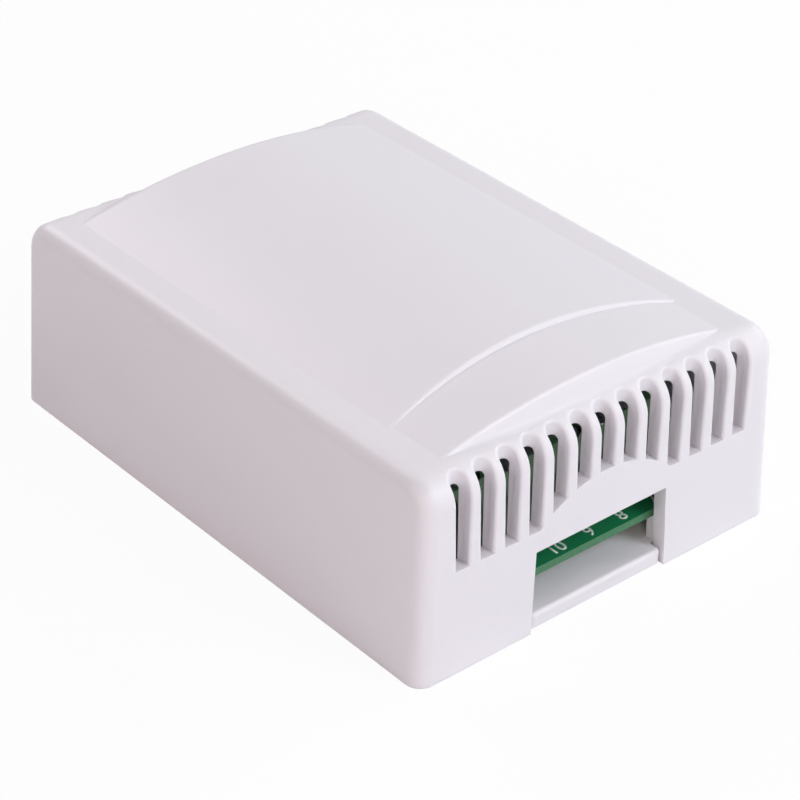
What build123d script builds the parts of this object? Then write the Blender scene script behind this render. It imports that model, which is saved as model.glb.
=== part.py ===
from build123d import *
from math import asin, degrees, radians, sqrt, tan
import os

os.makedirs("parts", exist_ok=True)

# Frame: +X across the width, +Y along the length towards the back, +Z up.
# The origin is at the middle of the underside. The front is the -Y end. All sizes are in millimetres.

# Casing, which is 74.0 long, 54.0 wide and 24.8 high at its edges round the board and the relays
wall = 1.8
roof = 1.8
case_headroom = 1.1  # between the relays and the roof beside the crown
draft = 2.0  # degrees that every upright wall leans inwards
corner_radius = 2.0  # of the upright corners and the long top edges
end_edge_radius = 3.6  # of the top edge at both ends
inner_corner_radius = 1.1
inner_edge_sharper = 0.1  # the radius under the roof is this much less
fit_gap = 0.15  # between the base and the shell round it

# Crown, the long arch on top of the shell
crown_from_side = 5.6
crown_rise = 3.1
crown_from_back = 5.4
crown_end_lean = 14.0  # degrees from upright
crown_end_radius = 1.2
crown_root = 3.0  # how far the arch is rooted in the roof
crown_thickening = 0.5  # the roof is this much thicker under the crown's peak
crown_side = 2.5  # how far it is rooted past its visible edge
brow_narrower = 0.6  # the brow is the lower band of the crown, at the front
brow_rise = 2.6
brow_from_front = 4.75
brow_slope = 67.0  # degrees that its front falls from level
brow_crease_radius = 0.5
step_from_front = 12.3
step_lean = 35.0
brow_root = 5.0  # how far the brow runs on into the crown behind it
step_radius = 0.45

# Vents, cut over the top edge at both ends
vent_pitch = 3.475
vent_width = 1.75  # at the foot of the slots
vent_draft = 1.3  # degrees that each side of a slot leans outwards
vent_from_side = 6.0  # no slot's middle is nearer to the side
vent_over_window = 2.65
vent_past_wall = 0.85  # from the inside of the wall to the round end of the outer slots
vent_middle_deeper = 0.3  # the ends of the slots lie on an arc that is this deep
vent_edge_radius = 0.35
vent_arch_rise = 3.75  # the middle slots end on an arch over the window

# Wire windows, open at the foot, one at each end
window_width = 19.7  # at the top
window_draft = 2.4  # degrees that its sides lean apart, towards the foot
window_shift = -0.45  # middle of the front window, across the width
window_over_board = 4.3

# Base
floor_thickness = 2.2
rim_thickness = 1.2
under_board_room = 3.1  # height of the rim and bosses that the board lies on
rim_gap_past = 0.15  # the gap in the rim runs on this far behind each side of the window
tongue_inset = 0.3  # the tongue's front behind the shell's
tongue_gap = 0.25
tongue_corner = 0.7
tongue_bevel = 0.35
tongue_edge_radius = 0.5
tongue_root = 8.0  # from the front of the shell to where it has run into the floor
boss_radius = 2.9
boss_from_board_edge = 3.9
bead_radius = 0.45
bead_proud = 0.3
bead_length = 10.0
bead_height = 3.5
bead_place = 16.0  # each side of the middle, along the length
bead_room = 0.2  # between a bead and the groove for it in the shell

# Circuit board
board_room = 0.7  # between the board and the shell, at their foot
board_thickness = 1.0
board_corner = 1.2
pin_reach = 1.2  # pins stand this far out under the board
hole_room = 0.15

# Board screws
board_screw_radius = 1.25
board_screw_head_radius = 2.3
board_screw_head = 1.5
board_screw_depth = 4.2
board_screw_slot = 0.6
board_screw_slot_length = 3.2

# Terminal blocks
terminal_pitch = 5.0
terminals_each_end = 6
terminal_shift = -1.25  # middle of the front block, across the width
block_from_board_end = 2.7
block_margin = 0.2  # plastic beyond the outer terminals
block_bevel = 2.2
block_front_wall = 1.4  # plastic in front of the cages
block_back_wall = 1.4  # plastic behind the legs of the bars
block_floor = 0.5
wire_entry_width = 3.2
wire_entry_over_bar = 0.5
screw_ledge = 0.8
screw_recess = 0.35  # the heads lie this far under the top of the block
cage_width = 3.6
cage_depth = 4.6
cage_wall = 0.5
cage_foot = 0.7
cage_window = 3.4
cage_nut = 1.1
cage_side_room = 0.2
cage_end_room = 0.3
cage_start = 0.1  # the open cage above the floor of its room
cage_headroom = 0.3  # the closed cage under the ceiling of its room
clamp_travel = 2.2
bar_width = 2.2
bar_thickness = 0.8
bar_over_closed_foot = 0.1
bar_back_wall = 0.3  # plastic between the cage room and the leg of the bar
bar_leg_width = 1.0
bar_leg_thickness = 0.7
terminal_screw_radius = 1.25
terminal_head_radius = 1.9
terminal_head_room = 0.25
terminal_head = 1.5
terminal_head_edge = 0.25
terminal_slot = 0.7
thread_room = 0.05

# Relays
relay_width = 15.5
relay_length = 19.0
relay_wall = 0.7
relay_headroom = 0.75  # between the upper contact and the cover
relay_standoff = 0.3
relay_base_thickness = 1.8
relay_inner_room = 0.15
relay_from_block = 1.4
relay_from_side = 1.55
relay_gap = 1.1
yoke_width = 9.0
yoke_thickness = 1.0
yoke_back = 1.2  # between the yoke's upright and the cover
core_radius = 2.0
core_from_hinge = 6.6
coil_radius = 4.6
coil_flange = 0.7
coil_wound_radius = 4.2
coil_height = 8.0
air_gap = 0.5  # between the released armature and the core
hinge_gap = 0.2  # between the armature and the top of the yoke
armature_thickness = 0.9
armature_width = 8.0
armature_angle = 3.0  # degrees from released to closed
contact_blade = 0.3
contact_radius = 0.9
contact_height = 0.6
contact_front_room = 0.9  # between the contacts and the cover
relay_pin_radius = 0.45
relay_pin_inset = 1.1  # from the inside of the cover to the middle of a pin
relay_foot_radius = 0.8

# Power parts
capacitor_radius = 5.0
capacitor_height = 12.5
capacitor_from_block = 2.2
capacitor_from_relay = 3.05
capacitor_from_side = 2.3
capacitor_lead_pitch = 5.0
capacitor_groove = 0.5
capacitor_groove_height = 2.0
bridge_size = (6.5, 8.6, 3.3)
bridge_from_capacitor = 2.1
bridge_pitch = 5.08
package_lift = 0.4  # between a moulded package and the board
package_bevel = 0.4
package_leg = 0.5
regulator_size = (6.6, 6.1, 2.3)
regulator_tab = (5.2, 1.25, 0.5)
regulator_leg_width = 0.8
regulator_leg_reach = 2.4
regulator_leg_pitch = 4.6
regulator_from_bridge = 2.05
regulator_from_side = 2.8
lead_radius = 0.3
fuse_lead_pitch = 5.08
fuse_radius = 4.2
fuse_height = 7.7
fuse_edge_radius = 0.5
fuse_from_regulator = 1.5
fuse_from_block = 1.0
fuse_from_side = 1.4
varistor_radius = 3.8
varistor_thickness = 3.6
varistor_lead_pitch = 5.0
varistor_lift = 0.6
varistor_from_fuse = 2.0
varistor_from_block = 1.0

# Control parts
chip_size = (6.4, 22.8, 3.3)
chip_pin_count = 18
chip_pitch = 2.54
chip_from_side = 2.9
chip_from_transistors = 0.75
transistor_radius = 2.4
transistor_flat = 1.4  # from the middle to the flat side
transistor_height = 4.7
transistor_lift = 1.8
transistor_lead_pitch = 1.5
transistor_lead_radius = 0.25
transistor_count = 2
transistor_gap = 0.1
transistor_from_side = 0.7
transistor_from_relay = 2.2
diode_radius = 1.35
diode_length = 5.2
diode_span = 9.0
diode_wire_radius = 0.35
diode_count = 2
diode_gap = 0.5
diode_from_transistor = 0.35
diode_from_relay = 1.65
resistor_radius = 1.15
resistor_length = 6.3
resistor_span = 9.0
resistor_count = 3
resistor_gap = 0.2
resistor_from_side = 1.7
resistor_from_chip = 1.2
lead_bend = 1.0
led_radius = 1.5
led_rim_radius = 1.9
led_rim_height = 1.0
led_height = 3.2  # of the straight part, below the dome
led_lead_pitch = 2.54
led_lead_radius = 0.25
led_from_chip = 2.3
led_from_button = 1.4
button_from_diode = 0.75
button_from_relay = 3.0
button_corner = 0.5
button_pin_pitch = 4.5
button_size = 6.0
button_body_height = 3.6
button_cap_radius = 1.7
button_cap_height = 1.6
button_cap_edge = 0.3
button_travel = 0.25
button_room = 0.08

# Radio
radio_length = 29.0
radio_height = 12.0
radio_thickness = 1.0
radio_lift = 0.6
radio_from_resistors = 2.31  # from the resistors to the pins of the radio board
radio_pin_count = 8
radio_pin_pitch = 2.54
radio_pin_side = 0.64
radio_pin_overlap = 2.0  # how far the pins run up the board
radio_chip_size = (9.8, 1.5, 3.9)
radio_chip_leg_count = 8  # on each long side
radio_chip_leg_pitch = 1.27
radio_chip_leg = 0.3
radio_chip_lift = 0.1
crystal_flange = (11.2, 4.7, 0.4)
crystal_can = (10.4, 3.9, 2.8)
crystal_edge_radius = 0.5
antenna_from_board = 2.0
antenna_inset = 2.5
antenna_from_block = 1.1
antenna_wire_radius = 0.5
antenna_bend = 3.0

# Heights worked out from the sizes above
board_seat = floor_thickness + under_board_room
board_top = board_seat + board_thickness
pin_bottom = board_seat - pin_reach
window_height = board_top + window_over_board
vent_bottom = window_height + vent_over_window
cage_floor = board_top + block_floor
cage_bottom = cage_floor + cage_start
cage_height = cage_foot + cage_window + cage_nut
cage_ceiling = cage_bottom + cage_height + clamp_travel + cage_headroom
bar_bottom = cage_bottom + cage_foot + clamp_travel + bar_over_closed_foot
bar_top = bar_bottom + bar_thickness
ledge_top = cage_ceiling + screw_ledge
block_top = ledge_top + thread_room + terminal_head + screw_recess
relay_bottom = board_top + relay_standoff
relay_floor = relay_bottom + relay_base_thickness
core_bottom = relay_floor + yoke_thickness
coil_bottom = core_bottom + thread_room
coil_top = coil_bottom + coil_height
core_top = coil_top + thread_room
armature_bottom = core_top + air_gap
armature_top = armature_bottom + armature_thickness
blade_top = armature_top + contact_blade
upper_strip = blade_top + contact_height + thread_room
relay_top = upper_strip + 2 * contact_blade + relay_headroom + relay_wall
edge_height = relay_top + case_headroom + roof  # top of the flat bands along the long sides

# Board and casing, large enough for the two columns of parts between the terminal blocks
regulator_depth = regulator_leg_reach + regulator_size[1] + regulator_tab[1]
chip_depth = chip_size[0] + 3 * package_leg
relay_column = [relay_from_block, relay_length, transistor_from_relay, transistor_flat, transistor_radius]
relay_column += [chip_from_transistors, chip_depth, resistor_from_chip, 2 * resistor_radius]
relay_column += [radio_from_resistors, radio_pin_side, radio_thickness / 2, antenna_from_board]
relay_column += [antenna_wire_radius, antenna_from_block]
power_column = [capacitor_from_block, 2 * capacitor_radius, bridge_from_capacitor, bridge_size[1]]
power_column += [regulator_from_bridge, regulator_depth, fuse_from_regulator, 2 * fuse_radius]
power_column += [fuse_from_block]
bay_length = max(sum(relay_column), sum(power_column))
block_depth = block_front_wall + cage_depth + 2 * cage_end_room + bar_back_wall
block_depth += bar_leg_thickness + block_back_wall
board_length = bay_length + 2 * (block_from_board_end + block_depth)
board_width = relay_from_side + 2 * relay_width + relay_gap + capacitor_from_relay
board_width += 2 * capacitor_radius + capacitor_from_side
inner_width = board_width + 2 * board_room
inner_length = board_length + 2 * board_room
case_width = inner_width + 2 * wall
case_length = inner_length + 2 * wall
front = -case_length / 2
crown_half = case_width / 2 - crown_from_side
brow_half = crown_half - brow_narrower
vent_depth = wall + vent_past_wall  # from the end of the casing to the round end of the slot
window_foot_width = window_width + 2 * window_height * tan(radians(window_draft))
vent_side_count = int((case_width / 2 - vent_from_side) / vent_pitch)  # each side of the middle one
boss_x = board_width / 2 - boss_from_board_edge
boss_y = board_length / 2 - boss_from_board_edge
bead_x = inner_width / 2 - fit_gap - bead_height * tan(radians(draft)) - bead_radius + bead_proud

# Places on the board, worked out from its sides and from what stands before each part
board_left = -board_width / 2
board_right = board_width / 2
block_front = block_from_board_end - board_length / 2
block_back = block_front + block_depth
cage_y = block_front + block_front_wall + cage_end_room + cage_depth / 2
cage_front = cage_y - cage_depth / 2 - cage_end_room
cage_back = cage_y + cage_depth / 2 + cage_end_room
bar_leg_y = cage_back + bar_back_wall + bar_leg_thickness / 2
front_terminals = [
    terminal_shift + (i - (terminals_each_end - 1) / 2) * terminal_pitch for i in range(terminals_each_end)
]
relay_y = block_back + relay_from_block + relay_length / 2
relay_back = relay_y + relay_length / 2
relay_places = [
    (board_left + relay_from_side + relay_width * (i + 0.5) + relay_gap * i, relay_y) for i in (0, 1)
]
capacitor_place = (
    board_right - capacitor_from_side - capacitor_radius,
    block_back + capacitor_from_block + capacitor_radius,
)
bridge_back = capacitor_place[1] + capacitor_radius + bridge_from_capacitor + bridge_size[1]
bridge_place = (capacitor_place[0], bridge_back - bridge_size[1] / 2)
regulator_front = bridge_back + regulator_from_bridge
regulator_place = (
    board_right - regulator_from_side - regulator_size[0] / 2,
    regulator_front + regulator_leg_reach + regulator_size[1] / 2,
)
fuse_place = (
    board_right - fuse_from_side - fuse_radius,
    regulator_front + regulator_depth + fuse_from_regulator + fuse_radius,
)
varistor_place = (
    fuse_place[0] - fuse_radius - varistor_from_fuse - varistor_thickness / 2,
    -block_back - varistor_from_block - varistor_radius,
)
transistor_y = relay_back + transistor_from_relay + transistor_flat
transistor_step = 2 * transistor_radius + transistor_gap
transistor_places = [
    (board_left + transistor_from_side + transistor_radius + transistor_step * i, transistor_y)
    for i in range(transistor_count)
]
diode_start = transistor_places[-1][0] + transistor_radius + diode_from_transistor + diode_wire_radius
diode_step = diode_span + 2 * diode_wire_radius + diode_gap
diode_y = relay_back + diode_from_relay + diode_radius
diode_places = [(diode_start + diode_span / 2 + diode_step * i, diode_y) for i in range(diode_count)]
diode_end = diode_places[-1][0] + diode_span / 2 + diode_wire_radius
button_place = (
    diode_end + button_from_diode + lead_radius + button_size / 2,
    relay_back + button_from_relay + button_size / 2,
)
chip_place = (
    board_left + chip_from_side + chip_size[1] / 2,
    transistor_y + transistor_radius + chip_from_transistors + chip_depth / 2,
)
led_place = (
    chip_place[0] + chip_size[1] / 2 + led_from_chip + led_rim_radius,
    button_place[1] + button_size / 2 + led_from_button + led_rim_radius,
)
resistor_y = chip_place[1] + chip_depth / 2 + resistor_from_chip + resistor_radius
resistor_step = resistor_span + 2 * lead_radius + resistor_gap
resistor_places = [
    (board_left + resistor_from_side + lead_radius + resistor_span / 2 + resistor_step * i, resistor_y)
    for i in range(resistor_count)
]
antenna_y = -block_back - antenna_from_block - antenna_wire_radius
radio_place = (
    (board_left + varistor_place[0] - varistor_thickness / 2) / 2,
    antenna_y - antenna_from_board,
)
holes = []  # every hole in the board: its place and its radius


def arch_radius(half, rise):
    return (half**2 + rise**2) / (2 * rise)


def save(piece, name):
    """Label a finished piece and write it under the same name."""
    piece.label = name
    export_step(piece, f"parts/{name}.step")


def board_hole(x, y, radius):
    """Note a hole that the board needs for a pin of this radius."""
    holes.append((x, y, radius + hole_room))


# Crown: an arch along the length, with a leaning, rounded face at each end
crown_radius = arch_radius(crown_half, crown_rise)
crown_centre = edge_height + crown_rise - crown_radius
crown_edge = crown_half + crown_side
crown_edge_height = crown_centre + sqrt(crown_radius**2 - crown_edge**2)
crown_low = edge_height - crown_root
crown_high = edge_height + crown_rise + crown_root
front_lean = tan(radians(step_lean))
back_lean = tan(radians(crown_end_lean))
crown_front = front + step_from_front  # where its faces meet the height of the flat bands
crown_back = -front - crown_from_back
with BuildPart() as crown:
    with BuildSketch(Plane.XZ):
        with BuildLine():
            ThreePointArc(
                (-crown_edge, crown_edge_height),
                (0, edge_height + crown_rise),
                (crown_edge, crown_edge_height),
            )
            Polyline(
                (crown_edge, crown_edge_height),
                (crown_edge, crown_low),
                (-crown_edge, crown_low),
                (-crown_edge, crown_edge_height),
            )
        make_face()
    extrude(amount=case_length, both=True)
    with BuildSketch(Plane.YZ):
        with BuildLine():
            Polyline(
                (crown_front + (crown_low - edge_height) * front_lean, crown_low),
                (crown_back - (crown_low - edge_height) * back_lean, crown_low),
                (crown_back - (crown_high - edge_height) * back_lean, crown_high),
                (crown_front + (crown_high - edge_height) * front_lean, crown_high),
                close=True,
            )
        make_face()
    extrude(amount=case_width, both=True, mode=Mode.INTERSECT)
    for end, radius in ((0, step_radius), (-1, crown_end_radius)):
        arcs = crown.edges().filter_by(GeomType.LINE, reverse=True).sort_by(Axis.Y)
        fillet(arcs[end], radius)

# Brow: its outline from the side, turned about the axis of its arch
brow_high = edge_height + brow_rise
brow_radius = arch_radius(brow_half, brow_rise)
brow_axis = Axis((0, 0, brow_high - brow_radius), (0, 1, 0))
brow_turn = degrees(asin((brow_half + crown_side) / brow_radius))
brow_crease = front + brow_from_front
brow_foot = brow_crease - (brow_high - crown_low) / tan(radians(brow_slope))
brow_back = crown_front + brow_root
with BuildPart() as brow:
    with BuildSketch(Plane.YZ) as brow_outline:
        with BuildLine():
            Polyline(
                (brow_foot, crown_low),
                (brow_crease, brow_high),
                (brow_back, brow_high),
                (brow_back, crown_low),
                close=True,
            )
        make_face()
        fillet(brow_outline.vertices().group_by(Axis.Y)[1], brow_crease_radius)
    revolve(axis=brow_axis, revolution_arc=2 * brow_turn)

# Slots of the vents, at both ends; the middle ones stop on the arch over the window
vent_arch_radius = arch_radius(window_width / 2, vent_arch_rise)
vent_reach = 8.0
skin_tolerance = 0.01
with BuildPart() as vent_slots:
    with BuildSketch(Plane.XY.offset(vent_bottom)):
        for i in range(-vent_side_count, vent_side_count + 1):
            deeper = vent_middle_deeper * (1 - (i / vent_side_count) ** 2)
            with Locations((i * vent_pitch, front + vent_depth + deeper - vent_reach / 2)):
                SlotOverall(vent_reach, vent_width, rotation=90)
    extrude(amount=edge_height, taper=-vent_draft)
    with BuildSketch(Plane.XZ):
        with Locations((0, vent_bottom + vent_arch_rise - vent_arch_radius)):
            Circle(vent_arch_radius)
    extrude(amount=case_length, mode=Mode.SUBTRACT)
    mirror(about=Plane.XZ)


def upright_edges(box):
    return box.edges().filter_by(lambda e: abs((e % 0.5).Z) > 0.5)


def side_chain(box, end):
    """The upright edges and the top edge of one long side."""
    edges = box.faces().sort_by(Axis.X)[end].edges()
    return edges.filter_by(lambda e: (e @ 0.5).Z > corner_radius)


def vent_lips(body, skin):
    """Outer edges of the slots, but for their feet: where a slot's wall meets the skin."""
    walls = body.faces().filter_by(lambda f: skin.distance_to(f.center()) > skin_tolerance)
    walls = walls.filter_by(lambda f: abs(f.normal_at().Z) < 0.5)
    edges = ShapeList(e for wall_face in walls for e in wall_face.edges())
    return edges.filter_by(lambda e: skin.distance_to(e @ 0.5) < skin_tolerance)


# Room inside the shell, with an arched top under the crown
with BuildPart() as shell_room:
    with BuildSketch():
        Rectangle(inner_width, inner_length)
    extrude(amount=edge_height - roof, taper=draft)
    fillet(upright_edges(shell_room), inner_corner_radius)
    fillet(shell_room.faces().sort_by(Axis.Z)[-1].edges(), inner_corner_radius - inner_edge_sharper)
    with BuildSketch(Plane.XZ):
        with BuildLine():
            inner_half = crown_half - roof
            inner_top = edge_height - roof
            inner_peak = inner_top + crown_rise - crown_thickening
            ThreePointArc((-inner_half, inner_top), (0, inner_peak), (inner_half, inner_top))
            Line((inner_half, inner_top), (-inner_half, inner_top))
        make_face()
    extrude(amount=case_length / 2 - step_from_front, both=True)

# Window at the front: its sides lean apart towards the foot
with BuildPart() as window:
    with BuildSketch(Plane.XZ):
        with BuildLine():
            Polyline(
                (window_shift - window_foot_width / 2, 0),
                (window_shift + window_foot_width / 2, 0),
                (window_shift + window_width / 2, window_height),
                (window_shift - window_width / 2, window_height),
                close=True,
            )
        make_face()
    extrude(amount=case_length)

# Upper shell: drafted walls, arched top, vents and windows at both ends
with BuildPart() as upper_shell:
    with BuildSketch():
        Rectangle(case_width, case_length)
    extrude(amount=edge_height, taper=draft)
    fillet(upper_shell.faces().sort_by(Axis.Z)[-1].edges().filter_by(Axis.X), end_edge_radius)
    for end in (0, -1):
        fillet(side_chain(upper_shell, end), corner_radius)
    add(brow.part.rotate(brow_axis, -brow_turn))
    add(crown.part)
    whole_skin = upper_shell.part.shell()
    add(vent_slots.part, mode=Mode.SUBTRACT)
    fillet(vent_lips(upper_shell, whole_skin), vent_edge_radius)
    add(shell_room.part, mode=Mode.SUBTRACT)
    add(window.part, mode=Mode.SUBTRACT)
    add(window.part.rotate(Axis.Z, 180), mode=Mode.SUBTRACT)
    for side in (-1, 1):
        for y in (-bead_place, bead_place):
            with Locations((side * bead_x, y, bead_height)):
                Cylinder(
                    bead_radius + bead_room,
                    bead_length + 4 * bead_room,
                    rotation=(90, 0, 0),
                    mode=Mode.SUBTRACT,
                )

save(upper_shell.part, "upper_shell")


def slab(low, high, mode=Mode.ADD):
    """A box from its lowest corner to its highest, in the piece being built."""
    centre = [(a + b) / 2 for a, b in zip(low, high)]
    with Locations(tuple(centre)):
        Box(*[b - a for a, b in zip(low, high)], mode=mode)


def post(x, y, low, high, radius, mode=Mode.ADD):
    """An upright cylinder from one height to another, in the piece being built."""
    with Locations((x, y, (low + high) / 2)):
        Cylinder(radius, high - low, mode=mode)


def pin(x, y, top, radius):
    """A round pin from this height down through the board."""
    board_hole(x, y, radius)
    post(x, y, pin_bottom, top, radius)


def bent_wire(start, end, height, radius, bend):
    """A round wire out of the board, across at this height and down into the board again."""
    with BuildLine() as route:
        FilletPolyline(
            (*start, pin_bottom), (*start, height), (*end, height), (*end, pin_bottom), radius=bend
        )
    with BuildSketch(Plane.XY.offset(pin_bottom)) as section:
        with Locations(start):
            Circle(radius)
    sweep(section.sketch, path=route.wires()[0])
    board_hole(*start, radius)
    board_hole(*end, radius)


# Base: a floor with a rim that the board lies on, a tongue at each window, bosses and snap beads
with BuildPart() as tongue:
    with BuildSketch():
        with Locations((window_shift, front + (tongue_inset + tongue_root) / 2)):
            RectangleRounded(window_foot_width - 2 * tongue_gap, tongue_root - tongue_inset, tongue_corner)
    extrude(amount=floor_thickness)
    fillet(tongue.faces().sort_by(Axis.Z)[-1].edges(), tongue_edge_radius)
    chamfer(tongue.faces().sort_by(Axis.Z)[0].edges(), tongue_bevel)
with BuildPart() as rim_gap:
    with BuildSketch(Plane.XZ):
        with Locations((window_shift, floor_thickness + board_seat / 2)):
            Rectangle(window_foot_width + 2 * rim_gap_past, board_seat)
    extrude(amount=case_length)
with BuildPart() as base_plate:
    with BuildSketch():
        Rectangle(inner_width - 2 * fit_gap, inner_length - 2 * fit_gap)
    extrude(amount=board_seat, taper=draft)
    fillet(upright_edges(base_plate), inner_corner_radius - fit_gap)
    rim_inset = 2 * (fit_gap + rim_thickness + floor_thickness * tan(radians(draft)))
    with BuildSketch(Plane.XY.offset(floor_thickness)):
        Rectangle(inner_width - rim_inset, inner_length - rim_inset)
    extrude(amount=board_seat, taper=draft, mode=Mode.SUBTRACT)
    for turn in (0, 180):
        add(rim_gap.part.rotate(Axis.Z, turn), mode=Mode.SUBTRACT)
        add(tongue.part.rotate(Axis.Z, turn))
    pilot_bottom = board_top - board_screw_depth - thread_room
    pilot_radius = board_screw_radius + thread_room
    for x in (-boss_x, boss_x):
        for y in (-boss_y, boss_y):
            post(x, y, floor_thickness, board_seat, boss_radius)
            post(x, y, pilot_bottom, board_seat, pilot_radius, Mode.SUBTRACT)
    for side in (-1, 1):
        for y in (-bead_place, bead_place):
            with Locations((side * bead_x, y, bead_height)):
                Cylinder(bead_radius, bead_length, rotation=(90, 0, 0))
save(base_plate.part, "base_plate")

# Screws that hold the board to the bosses
with BuildPart() as board_screws:
    for x in (-boss_x, boss_x):
        for y in (-boss_y, boss_y):
            board_hole(x, y, board_screw_radius)
            post(x, y, board_top - board_screw_depth, board_top, board_screw_radius)
            post(x, y, board_top, board_top + board_screw_head, board_screw_head_radius)
            for turn in (0, 90):
                with Locations(Location((x, y, board_top + board_screw_head), (0, 0, turn))):
                    Box(
                        board_screw_slot_length,
                        board_screw_slot,
                        board_screw_head,
                        mode=Mode.SUBTRACT,
                    )
save(board_screws.part, "board_screws")

# Terminal blocks: one housing at each end, the back one turned half round
block_left = front_terminals[0] - terminal_pitch / 2 - block_margin
block_right = front_terminals[-1] + terminal_pitch / 2 + block_margin
bar_back = bar_leg_y + bar_leg_thickness / 2
with BuildPart() as terminal_housing:
    slab((block_left, block_front, board_top), (block_right, block_back, block_top))
    top_front = terminal_housing.edges().filter_by(Axis.X).group_by(Axis.Z)[-1].sort_by(Axis.Y)[0]
    chamfer(top_front, block_bevel)
    half_room = cage_width / 2 + cage_side_room
    half_entry = wire_entry_width / 2
    half_slot = bar_width / 2 + thread_room
    for x in front_terminals:
        slab(
            (x - half_room, cage_front, cage_floor),
            (x + half_room, cage_back, cage_ceiling),
            Mode.SUBTRACT,
        )
        slab(
            (x - half_entry, block_front, cage_floor),
            (x + half_entry, cage_front, bar_bottom + wire_entry_over_bar),
            Mode.SUBTRACT,
        )
        slab(
            (x - half_slot, cage_back, board_top),
            (x + half_slot, bar_back + thread_room, bar_top + thread_room),
            Mode.SUBTRACT,
        )
        post(x, cage_y, cage_ceiling, ledge_top, terminal_screw_radius + hole_room, Mode.SUBTRACT)
        post(x, cage_y, ledge_top, block_top, terminal_head_radius + terminal_head_room, Mode.SUBTRACT)
save(terminal_housing.part, "front_terminal_block")
save(terminal_housing.part.rotate(Axis.Z, 180), "back_terminal_block")

# Contact bars: a bar through each cage, with a leg through the board
with BuildPart() as front_bars:
    leg_corner = sqrt(bar_leg_width**2 + bar_leg_thickness**2) / 2
    for x in front_terminals:
        slab(
            (x - bar_width / 2, cage_front + hole_room, bar_bottom),
            (x + bar_width / 2, bar_back, bar_top),
        )
        slab(
            (x - bar_leg_width / 2, bar_back - bar_leg_thickness, pin_bottom),
            (x + bar_leg_width / 2, bar_back, bar_bottom),
        )
        board_hole(x, bar_leg_y, leg_corner)
        board_hole(-x, -bar_leg_y, leg_corner)
with BuildPart() as terminal_bars:
    add(front_bars.part)
    add(front_bars.part.rotate(Axis.Z, 180))
save(terminal_bars.part, "terminal_bars")


def terminal_clamp(x):
    """A rising cage: the screw runs through its top and draws it up under the bar."""
    half_width = cage_width / 2
    half_depth = cage_depth / 2
    window_low = cage_bottom + cage_foot
    window_high = window_low + cage_window
    nut_top = cage_bottom + cage_height
    with BuildPart() as clamp:
        slab(
            (x - half_width, cage_y - half_depth, cage_bottom),
            (x + half_width, cage_y + half_depth, nut_top),
        )
        slab(
            (x - half_width + cage_wall, cage_y - half_depth, window_low),
            (x + half_width - cage_wall, cage_y + half_depth, window_high),
            Mode.SUBTRACT,
        )
        post(x, cage_y, window_high, nut_top, terminal_screw_radius + thread_room, Mode.SUBTRACT)
    return clamp.part


def terminal_screw(x):
    """A slotted cheese-head screw, held in its well, that turns without rising."""
    head_bottom = ledge_top + thread_room
    head_top = head_bottom + terminal_head
    with BuildPart() as screw:
        post(x, cage_y, bar_top + hole_room, head_bottom, terminal_screw_radius)
        post(x, cage_y, head_bottom, head_top, terminal_head_radius)
        fillet(screw.edges().filter_by(GeomType.CIRCLE).sort_by(Axis.Z)[-1], terminal_head_edge)
        slab(
            (x - terminal_slot / 2, cage_y - terminal_head_radius, head_top - terminal_head / 2),
            (x + terminal_slot / 2, cage_y + terminal_head_radius, head_top),
            Mode.SUBTRACT,
        )
    return screw.part


# Terminals are numbered from the right of the front block, 7 to 12 there and 1 to 6 at the back
for i, x in enumerate(reversed(front_terminals)):
    for number, turn in ((terminals_each_end + 1 + i, 0), (1 + i, 180)):
        save(terminal_clamp(x).rotate(Axis.Z, turn), f"terminal_clamp_{number:02d}")
        save(terminal_screw(x).rotate(Axis.Z, turn), f"terminal_screw_{number:02d}")

# Places in a relay, measured from its middle
hinge_y = relay_length / 2 - relay_wall - yoke_back
core_y = hinge_y - core_from_hinge
contact_y = relay_wall + contact_front_room + contact_radius - relay_length / 2
armature_reach = hinge_y - contact_y
closed_drop = (armature_reach + contact_radius) * tan(radians(armature_angle))
lower_contact = armature_top - contact_height - closed_drop - thread_room
lower_strip = lower_contact - contact_height
relay_pin_x = relay_width / 2 - relay_wall - relay_pin_inset


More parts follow.
